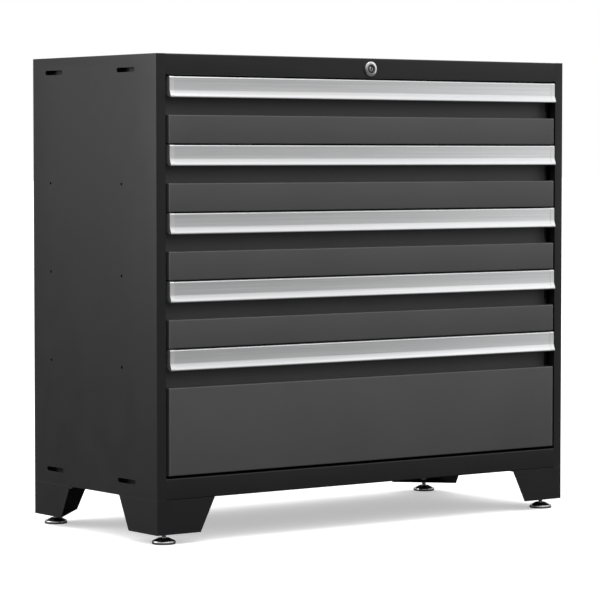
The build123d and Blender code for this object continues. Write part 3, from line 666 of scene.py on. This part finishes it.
def merged(*meshes):
    """Several meshes as one."""
    shape = bmesh.new()
    for mesh in meshes:
        shape.from_mesh(mesh)
    mesh = bpy.data.meshes.new("merged")
    shape.to_mesh(mesh)
    shape.free()
    return smooth(mesh)


def moved(mesh, turn):
    """A mesh put in its place by a matrix."""
    mesh.transform(turn)
    return mesh


def cut(mesh, tool):
    """A mesh with another one cut away from it."""
    kept = bpy.data.objects.new("kept", mesh)
    removed = bpy.data.objects.new("removed", tool)
    for holder in (kept, removed):
        bpy.context.scene.collection.objects.link(holder)
    boolean = kept.modifiers.new("cut", "BOOLEAN")
    boolean.operation = "DIFFERENCE"
    boolean.solver = "EXACT"
    boolean.object = removed
    settled = kept.evaluated_get(bpy.context.evaluated_depsgraph_get())
    result = bpy.data.meshes.new_from_object(settled)
    for holder in (kept, removed):
        bpy.data.objects.remove(holder)
    return result


def block(low, high):
    """A closed box between two corners, used as a cutting tool."""
    shape = bmesh.new()
    size = Vector(high) - Vector(low)
    turn = Matrix.Translation((Vector(low) + Vector(high)) / 2) @ Matrix.Diagonal((*size, 1))
    bmesh.ops.create_cube(shape, size=1.0, matrix=turn)
    mesh = bpy.data.meshes.new("block")
    shape.to_mesh(mesh)
    shape.free()
    return mesh


def section(outline, length, place, finish):
    """A flat outline, whose points are (Y, Z), drawn out along X."""
    curve = bpy.data.curves.new("outline", "CURVE")
    curve.dimensions = "2D"
    spline = curve.splines.new("POLY")
    spline.points.add(len(outline) - 1)
    for point, (y, z) in zip(spline.points, outline):
        point.co = (y, z, 0, 1)
    spline.use_cyclic_u = True
    return smooth(grown(SECTION, curve, {"Length": length, "Place": place, "Finish": finish}), 30)


# Body, legs and slides: the model's own shapes, with rounded edges

painted = ["left_side_panel", "right_side_panel", "back_panel", "top_panel", "bottom_panel", "top_front_rail"]
for node in painted + ["bottom_front_rail", "slide_posts"]:
    dressed(node, BLACK, CUT_EDGE)
for corner in corners:
    dressed(f"leg_{corner}", BLACK, LEG_EDGE)
for n in drawers:
    for member in ("inner", "middle"):
        dressed(f"drawer_{n}_{member}_members", ZINC, PLATED_EDGE)
for node in ("slide_outer_members", "lock_bar", "lock_brackets", "lock_rod"):
    dressed(node, ZINC, PLATED_EDGE)


# Drawers: fronts folded from one sheet between two end plates, and trays with a rim and a striker

for n in drawers:
    low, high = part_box(f"drawer_{n}_front")
    ledge_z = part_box(f"drawer_{n}_handle")[1].z - LEDGE_DROP
    recess_y = high.y - FRONT_SHEET
    recess = block((low.x + FRONT_SHEET, recess_y, ledge_z - WELD_FLANGE), (high.x - FRONT_SHEET, high.y, high.z))
    fold = [
        (recess_y, ledge_z - WELD_FLANGE),
        (recess_y, ledge_z),
        (low.y, ledge_z),
        (low.y, low.z),
        (low.y + FRONT_RETURN, low.z),
    ]
    outline = walled(round_points(fold, False, [0, BEND, BEND, BEND, 0]), FRONT_SHEET)
    inside_x = low.x + FRONT_SHEET
    pan = section(outline, high.x - low.x - 2 * FRONT_SHEET, (inside_x, 0, 0), GREY)
    side = [(high.y, ledge_z), (low.y, ledge_z), (low.y, low.z), (high.y, low.z)]
    side = round_points(side, True, [0, BEND, BEND, 0])
    ends = [section(side, FRONT_SHEET, (x, 0, 0), GREY) for x in (low.x, high.x - FRONT_SHEET)]
    mesh = merged(pan, recess, *ends)
    piece = placed(f"drawer_{n}_folded_front", mesh, GREY, f"drawer_{n}", [f"drawer_{n}_front"])
    round_edges(piece, CUT_EDGE)

    low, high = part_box(f"drawer_{n}_box")
    back_y = high.y - STRIKER_REACH
    t, rim = FRONT_SHEET, BOX_RIM
    tray = block(low, (high.x, back_y, high.z))
    tray = cut(tray, block((low.x + t, low.y + t, low.z + t), (high.x - t, back_y - t, high.z - t)))
    mouth_high = (high.x - rim, back_y - rim, high.z + rim)
    tray = cut(tray, block((low.x + rim, low.y + rim, high.z - 2 * t), mouth_high))
    level = high.z - STRIKER_DROP
    half = STRIKER_WIDTH / 2
    arm = block((-half, back_y, level - t), (half, high.y - t, level))
    hook = block((-half, high.y - t, level - STRIKER_LIP), (half, high.y, level))
    mesh = merged(tray, arm, hook)
    piece = placed(f"drawer_{n}_tray", mesh, GREY, f"drawer_{n}", [f"drawer_{n}_box"])
    round_edges(piece, BOX_EDGE / 2)


# Handles: drawn sections, with a cap on each end


def handle_path(low, high):
    """The handle's outer face, from the bottom of its flange over the top and down to the lip's edge."""
    face_y = low.y + LIP_REACH
    fold = [
        (high.y, high.z - HANDLE_FLANGE),
        (high.y, high.z),
        (face_y, high.z),
        (face_y, high.z - HANDLE_FACE),
    ]
    path = round_points(fold, False, [0, HANDLE_CORNER / 4, HANDLE_CORNER, 0])
    lip_top = Vector((face_y, high.z - HANDLE_FACE))
    lip_bottom = Vector((low.y, low.z + LIP_EDGE))
    for step in range(1, 9):
        share = step / 8
        sag = 4 * LIP_SAG * share * (1 - share)
        path.append(lip_top.lerp(lip_bottom, share) + Vector((sag, 0)))
    path.append(Vector((low.y, low.z + HANDLE_WALL / 2)))
    return path


for n in drawers:
    low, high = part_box(f"drawer_{n}_handle")
    path = handle_path(low, high)
    mesh = section(walled(path, HANDLE_WALL), high.x - low.x, (low.x, 0, 0), ALUMINIUM)
    placed(f"drawer_{n}_handle_section", mesh, ALUMINIUM, f"drawer_{n}", [f"drawer_{n}_handle"])

    plate = path + [Vector((low.y + HANDLE_WALL, low.z))]
    sleeve = [Vector((max(p.x, low.y), p.y)) for p in walled(path[2:], -CAP_WALL)]
    caps = []
    for start, inwards in ((low.x - CAP_PLATE, 0), (high.x, CAP_SLEEVE - CAP_PLATE)):
        caps.append(section(plate, CAP_PLATE, (start, 0, 0), SILVER))
        caps.append(section(sleeve, CAP_SLEEVE, (start - inwards, 0, 0), SILVER))
    placed(f"drawer_{n}_handle_caps", merged(*caps), SILVER, f"drawer_{n}")


# Slides: balls in their cages between the members

_, outer_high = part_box("slide_outer_members")
top_inner_low, top_inner_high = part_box("drawer_1_inner_members")
outer_half = outer_high.z - (top_inner_low.z + top_inner_high.z) / 2
for n in drawers:
    inner_low, inner_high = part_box(f"drawer_{n}_inner_members")
    middle_low, middle_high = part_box(f"drawer_{n}_middle_members")
    level = (inner_low.z + inner_high.z) / 2
    length = inner_high.y - inner_low.y
    inner_half = (inner_high.z - inner_low.z) / 2
    middle_half = (middle_high.z - middle_low.z) / 2
    half_length = length / 2 - 2 * CAGE_END
    pitch = half_length / BALLS
    rows = [
        (outer_half - RACE_SHEET, middle_half, middle_high.x - 4.2 * MM, inner_low.y + length / 2 + CAGE_END),
        (middle_half - RACE_SHEET, inner_half, inner_high.x - 3.2 * MM, inner_low.y + CAGE_END),
    ]
    balls, cages = [], []
    for above, below, row_x, row_y in rows:
        diameter = above - below - BALL_SLACK
        rise = (above + below) / 2
        starts = [(side * row_x, row_y + CAGE_END, level + end * rise) for side in (-1, 1) for end in (-1, 1)]
        sizes = {"Count": BALLS, "Pitch": pitch, "Diameter": diameter, "Finish": BALL_STEEL}
        balls.append(grown(BALL_ROWS, points_mesh(starts), sizes))
        for x, y, z in starts:
            low = (x - CAGE_WIDTH / 2, y - CAGE_END, z - CAGE_SHEET / 2)
            high = (x + CAGE_WIDTH / 2, y + half_length, z + CAGE_SHEET / 2)
            cages.append(block(low, high))
    placed(f"drawer_{n}_slide_balls", merged(*balls), BALL_STEEL, f"drawer_{n}_slide")
    cage = placed(f"drawer_{n}_slide_cages", merged(*cages), ZINC, f"drawer_{n}_slide")
    rounding = cage.modifiers.new("edges", "BEVEL")
    rounding.width = PLATED_EDGE
    rounding.segments = 2


# Screws and nuts


def pan_head_screw(shank):
    """A pan-head screw with a cross recess, its head above Z = 0 and its shank below."""
    r, h = SMALL_HEAD / 2, SMALL_HEAD_HEIGHT
    profile = [(0, -shank, False), (SMALL_SHANK * 0.38, -shank, False), (SMALL_SHANK / 2, -shank + 0.5 * MM, False)]
    profile += [(SMALL_SHANK / 2, 0, False), (r, 0, False), (r, 0.3 * h, False), (0.93 * r, 0.62 * h, False)]
    profile += [(0.75 * r, 0.85 * h, False), (0.45 * r, 0.97 * h, False), (0, h, False)]
    head = turned(profile, 20)
    w, reach, floor = RECESS_WIDTH / 2, RECESS_REACH, h - RECESS_DEPTH
    for low, high in (((-w, -reach, floor), (w, reach, 2 * h)), ((-reach, -w, floor), (reach, w, 2 * h))):
        head = cut(head, block(low, high))
    return head


def pierced(solid, radius, low, high):
    """A solid with a round hole about Z between two heights."""
    hole = [(0, low, False), (radius, low, False), (radius, high, False), (0, high, False)]
    return cut(solid, turned(hole, 48))


def hex_shape(flats, height, bore):
    """A hexagonal nut or head with chamfered corners, standing on Z = 0."""
    half, chamfer = flats / 2, flats * 0.06
    profile = [(0, 0, False), (half * 0.95, 0, False), (half, chamfer, True), (half, height - chamfer, True)]
    profile += [(half * 0.95, height, False), (0, height, False)]
    solid = turned(profile, 24)
    return pierced(solid, bore / 2, -height, 2 * height) if bore else solid


def loose_parts(node):
    """The two corners of the box of each loose part of a CAD node's mesh."""
    shape = bmesh.new()
    shape.from_mesh(nodes[node].data)
    bmesh.ops.remove_doubles(shape, verts=shape.verts, dist=0.001 * MM)
    left, found = set(shape.verts), []
    while left:
        queue, part = [left.pop()], []
        while queue:
            vert = queue.pop()
            part.append(vert.co.copy())
            for edge in vert.link_edges:
                other = edge.other_vert(vert)
                if other in left:
                    left.discard(other)
                    queue.append(other)
        low = Vector([min(p[i] for p in part) for i in range(3)])
        high = Vector([max(p[i] for p in part) for i in range(3)])
        found.append((low, high))
    shape.free()
    return sorted(found, key=lambda box: tuple(round(v, 5) for v in box[0]))


for n in drawers:
    handle_screws, slide_screws = [], []
    for low, high in loose_parts(f"drawer_{n}_screws"):
        middle = (low + high) / 2
        size = high - low
        if size.y < size.x * 0.99 or abs(size.x - size.z) < 0.01 * MM and size.y < size.x:
            handle_screws.append((Vector((middle.x, high.y - SMALL_HEAD_HEIGHT, middle.z)), (0, 1, 0)))
            handle_shank = size.y - SMALL_HEAD_HEIGHT
        else:
            side = 1 if middle.x > 0 else -1
            outside = high.x if side > 0 else low.x
            slide_screws.append((Vector((outside - side * SMALL_HEAD_HEIGHT, middle.y, middle.z)), (side, 0, 0)))
            slide_shank = size.x - SMALL_HEAD_HEIGHT
    sets = [
        hardware(pan_head_screw(handle_shank), handle_screws, ZINC),
        hardware(pan_head_screw(slide_shank), slide_screws, ZINC),
    ]
    covered = [f"drawer_{n}_screws"]
    placed(f"drawer_{n}_cross_screws", merged(*sets), ZINC, f"drawer_{n}", covered)


def leg_screw(shank):
    """A hexagon screw with its washer, its head above Z = 0 and its shank below."""
    r, h = LEG_WASHER / 2, LEG_WASHER_HEIGHT
    washer = [(0, 0, False), (r - 0.2 * MM, 0, False), (r, 0.2 * MM, False), (r, h - 0.2 * MM, False)]
    washer += [(r - 0.2 * MM, h, False), (0, h, False)]
    stem = [(0, -shank, False), (LEG_SCREW_SHANK * 0.4, -shank, False)]
    stem += [(LEG_SCREW_SHANK / 2, -shank + 0.6 * MM, False), (LEG_SCREW_SHANK / 2, h, False), (0, h, False)]
    head = moved(hex_shape(LEG_SCREW_FLATS, LEG_HEAD_HEIGHT, 0), Matrix.Translation((0, 0, h)))
    return merged(turned(washer, 32), turned(stem, 20), head)


screws = loose_parts("leg_screws")
head_height = LEG_WASHER_HEIGHT + LEG_HEAD_HEIGHT
places = [(((low + high) / 2).xy.to_3d() + Vector((0, 0, low.z + head_height)), (0, 0, -1)) for low, high in screws]
shank = screws[0][1].z - screws[0][0].z - head_height
mesh = hardware(leg_screw(shank), places, ZINC)
placed("leg_hex_screws", mesh, ZINC, "cabinet", ["leg_screws"])

nuts = []
for flats, bore in ((LEG_SCREW_FLATS, LEG_SCREW_SHANK), (FOOT_NUT_FLATS, STEM)):
    found = [(low, high) for low, high in loose_parts("leg_nuts") if abs(min((high - low).xy) - flats) < 0.5 * MM]
    places = [(((low + high) / 2).xy.to_3d() + Vector((0, 0, low.z)), (0, 0, 1)) for low, high in found]
    height = found[0][1].z - found[0][0].z
    nuts.append(hardware(hex_shape(flats, height, bore), places, ZINC))
placed("leg_hex_nuts", merged(*nuts), ZINC, "cabinet", ["leg_nuts"])


# Levelling feet: turned pads and threaded stems

for corner in corners:
    low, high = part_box(f"foot_pad_{corner}")
    middle = ((low + high) / 2).xy.to_3d()
    r, top, neck, bore = (high.x - low.x) / 2, high.z, PAD_NECK / 2, STEM / 2 + 0.3 * MM
    socket_top = PAD_SOCKET + STEM_COLLAR_HEIGHT + 0.6 * MM
    profile = [(0, 0.6 * MM), (r - 5 * MM, 0.6 * MM), (r - 4.4 * MM, 0), (r - 1 * MM, 0), (r - 0.3 * MM, 0.3 * MM)]
    profile += [(r, 1 * MM), (r, PAD_RIM - 1.6 * MM), (r - 0.3 * MM, PAD_RIM - 0.7 * MM), (r - 1.2 * MM, PAD_RIM)]
    profile += [(neck + 1.4 * MM, top - 0.7 * MM), (neck + 0.6 * MM, top - 0.2 * MM), (neck - 0.2 * MM, top)]
    profile += [(bore + 0.3 * MM, top), (bore, top - 0.3 * MM), (bore, socket_top)]
    profile += [(STEM_COLLAR / 2 + 0.3 * MM, socket_top), (STEM_COLLAR / 2 + 0.3 * MM, PAD_SOCKET), (0, PAD_SOCKET)]
    pad = moved(turned_round(profile, 64), Matrix.Translation(middle))
    names = (f"foot_pad_{corner}", f"foot_stem_{corner}")
    placed(f"{names[0]}_turned", smooth(pad), CHROME, names[0], [names[0]])

    low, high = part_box(names[1])
    core = STEM / 2 - STEM_PITCH / 2
    neck_z = low.z + STEM_COLLAR_HEIGHT
    profile = [(0, low.z), (STEM_COLLAR / 2 - 0.4 * MM, low.z), (STEM_COLLAR / 2, low.z + 0.4 * MM)]
    profile += [(STEM_COLLAR / 2, neck_z - 0.4 * MM), (STEM_COLLAR / 2 - 0.4 * MM, neck_z), (STEM / 2, neck_z)]
    profile += [(STEM / 2, neck_z + 4 * MM), (core, neck_z + 4.6 * MM), (core, high.z - 0.6 * MM)]
    profile += [(core - 0.6 * MM, high.z), (0, high.z)]
    stem = moved(turned_round(profile, 32), Matrix.Translation(middle))
    start = middle + Vector((0, 0, neck_z + 5 * MM))
    sizes = {"Radius": STEM / 2, "Pitch": STEM_PITCH, "Length": high.z - start.z - 1.4 * MM, "Finish": CHROME}
    thread = grown(THREAD, points_mesh([start]), sizes)
    placed(f"{names[1]}_threaded", merged(stem, thread), CHROME, names[1], [names[1]])


# Lock: a bright bezel on a threaded barrel, its nut, and a dark plug round a bright core with the keyway

low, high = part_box("lock_barrel")
r = (high.x - low.x) / 2
lock_place = Vector(((low.x + high.x) / 2, low.y + BEZEL_PROUD, (low.z + high.z) / 2))
out = (0, -1, 0)
barrel_length = high.y - lock_place.y
core = BARREL / 2 - BARREL_PITCH / 2
profile = [(0, -barrel_length), (core, -barrel_length), (core, -1.5 * MM), (BARREL / 2, -1.2 * MM), (BARREL / 2, 0)]
profile += [(r, 0), (r, 1.6 * MM), (r - 0.3 * MM, 2.4 * MM), (r - 1.2 * MM, BEZEL_PROUD)]
profile += [(PLUG / 2 + 1.1 * MM, BEZEL_PROUD), (0, BEZEL_PROUD)]
barrel = turned_round(profile, 96)
barrel = pierced(barrel, PLUG / 2 + 0.3 * MM, -barrel_length - MM, 2 * BEZEL_PROUD)
sizes = {"Radius": BARREL / 2, "Pitch": BARREL_PITCH, "Length": barrel_length - 3.5 * MM, "Finish": CHROME}
thread = grown(THREAD, points_mesh([(0, 0, -barrel_length + 1 * MM)]), sizes)
mesh = hardware(merged(barrel, thread), [(lock_place, out)], CHROME)
placed("lock_threaded_barrel", mesh, CHROME, "cabinet", ["lock_barrel"])

low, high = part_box("lock_nut")
nut = hex_shape(LOCK_NUT_FLATS, high.y - low.y, BARREL)
mesh = hardware(nut, [(Vector((lock_place.x, high.y, lock_place.z)), out)], ZINC)
placed("lock_hex_nut", mesh, ZINC, "cabinet", ["lock_nut"])

low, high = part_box("lock_plug")
back = lock_place.y - high.y
face = BEZEL_PROUD - PLUG_RECESS
collar = (high.x - low.x) / 2
keyway = ((-KEYWAY_WIDTH / 2, -KEYWAY_HEIGHT / 2, face - KEYWAY_DEPTH), (KEYWAY_WIDTH / 2, KEYWAY_HEIGHT / 2, 9 * MM))
profile = [(0, back), (collar, back), (collar, back + PLUG_COLLAR), (PLUG / 2, back + PLUG_COLLAR)]
profile += [(PLUG / 2, face - 0.3 * MM), (PLUG / 2 - 0.3 * MM, face), (PLUG_CORE / 2 + 0.3 * MM, face)]
profile += [(PLUG_CORE / 2 + 0.1 * MM, face - 0.8 * MM), (0, face - 0.8 * MM)]
ring = cut(turned_round(profile, 72), block(*keyway))
mesh = hardware(ring, [(lock_place, out)], NICKEL)
placed("lock_plug_ring", mesh, NICKEL, "lock_cylinder", ["lock_plug"])
profile = [(0, face - MM), (PLUG_CORE / 2, face - MM), (PLUG_CORE / 2, face + CORE_PROUD - 0.3 * MM)]
profile += [(PLUG_CORE / 2 - 0.3 * MM, face + CORE_PROUD), (0, face + CORE_PROUD)]
middle = cut(turned_round(profile, 48), block(*keyway))
mesh = hardware(middle, [(lock_place, out)], ZINC)
placed("lock_plug_core", mesh, ZINC, "lock_cylinder")


# Pockets behind the side slots, which stop a hook short of the drawers and keep daylight out

pockets = []
for node, side in (("left_side_panel", -1), ("right_side_panel", 1)):
    low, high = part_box(node)
    outer_x = side * (max(abs(low.x), abs(high.x)) - FRONT_SHEET)
    for y in (low.y + FRONT_SLOT, high.y - REAR_SLOT):
        for z in (low.z + SLOT_END, high.z - SLOT_END):
            inner_x = outer_x - side * POCKET_DEPTH
            xs = sorted((outer_x, inner_x))
            shell = block((xs[0], y - POCKET_HALF, z - POCKET_RISE), (xs[1], y + POCKET_HALF, z + POCKET_RISE))
            xs = sorted((outer_x + side * MM, inner_x + side * POCKET_SHEET))
            half, rise = POCKET_HALF - POCKET_SHEET, POCKET_RISE - POCKET_SHEET
            pockets.append(cut(shell, block((xs[0], y - half, z - rise), (xs[1], y + half, z + rise))))
placed("slot_pockets", merged(*pockets), BLACK, "cabinet")


# Spot welds that hold the back panel to the side panels' rear flanges

profile = [(0, 0), (WELD_RADIUS, 0), (WELD_RADIUS * 0.85, WELD_RAISE)]
profile += [(WELD_RADIUS * 0.6, WELD_RAISE * 0.4), (0, WELD_RAISE * 0.3)]
dome = turned_round(profile, 24)
places = []
for node, side in (("left_side_panel", -1), ("right_side_panel", 1)):
    low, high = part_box(node)
    x = side * (max(abs(low.x), abs(high.x)) - WELD_INSET)
    step = (high.z - low.z) / WELDS
    places += [(Vector((x, high.y, low.z + (index + 0.5) * step)), (0, 1, 0)) for index in range(WELDS)]
placed("rear_spot_welds", hardware(dome, places, BLACK), BLACK, "cabinet")


# Camera, floor and light

camera = bpy.data.objects.new("camera", bpy.data.cameras.new("camera"))
camera.location = (-3.1704, -4.2482, 0.6632)
camera.rotation_euler = (math.radians(87.13), 0, math.radians(-36.64))
camera.data.lens = 173.3
camera.data.clip_end = 200
bpy.context.scene.collection.objects.link(camera)
bpy.context.scene.camera = camera

floor_mesh = bpy.data.meshes.new("floor")
floor_mesh.from_pydata([(-60, -60, 0), (60, -60, 0), (60, 60, 0), (-60, 60, 0)], [], [(0, 1, 2, 3)])
floor_mesh.materials.append(studio_paper())
floor = bpy.data.objects.new("floor", floor_mesh)
bpy.context.scene.collection.objects.link(floor)


def softbox(name, place, towards, width, height, power):
    """A rectangular softbox."""
    data = bpy.data.lights.new(name, "AREA")
    data.shape = "RECTANGLE"
    data.size = width
    data.size_y = height
    data.energy = power
    lamp = bpy.data.objects.new(name, data)
    lamp.location = place
    lamp.rotation_euler = (Vector(towards) - Vector(place)).to_track_quat("-Z", "Y").to_euler()
    bpy.context.scene.collection.objects.link(lamp)


softbox("top softbox", (-0.3, -0.6, 2.6), (0, 0, 0.6), 2.6, 1.8, 30)
softbox("left softbox", (-2.4, 1.2, 1.1), (-0.4, 0, 0.3), 1.6, 1.6, 20)
softbox("right softbox", (2.2, -1.6, 1.2), (0.2, -0.2, 0.5), 1.2, 1.8, 4)

world = bpy.data.worlds.new("studio")
world.use_nodes = True
sky = world.node_tree
sky.nodes.clear()
towards = add_node(sky, "ShaderNodeTexCoord").outputs["Generated"]
rise = add_node(sky, "ShaderNodeSeparateXYZ", inputs={"Vector": towards}).outputs["Z"]
room = add_node(sky, "ShaderNodeBackground", inputs={"Strength": ranged(sky, rise, 0.22, 1.25, 0.0, 0.7)})
seen = add_node(sky, "ShaderNodeBackground", inputs={"Color": (1, 1, 1, 1), "Strength": 1.0})
room.inputs["Color"].default_value = (1, 1, 1, 1)
by_camera = add_node(sky, "ShaderNodeLightPath").outputs["Is Camera Ray"]
both = add_node(sky, "ShaderNodeMixShader", inputs={0: by_camera, 1: room.outputs[0], 2: seen.outputs[0]})
add_node(sky, "ShaderNodeOutputWorld", inputs={"Surface": both.outputs[0]})
bpy.context.scene.world = world
bpy.context.scene.view_settings.view_transform = "Standard"
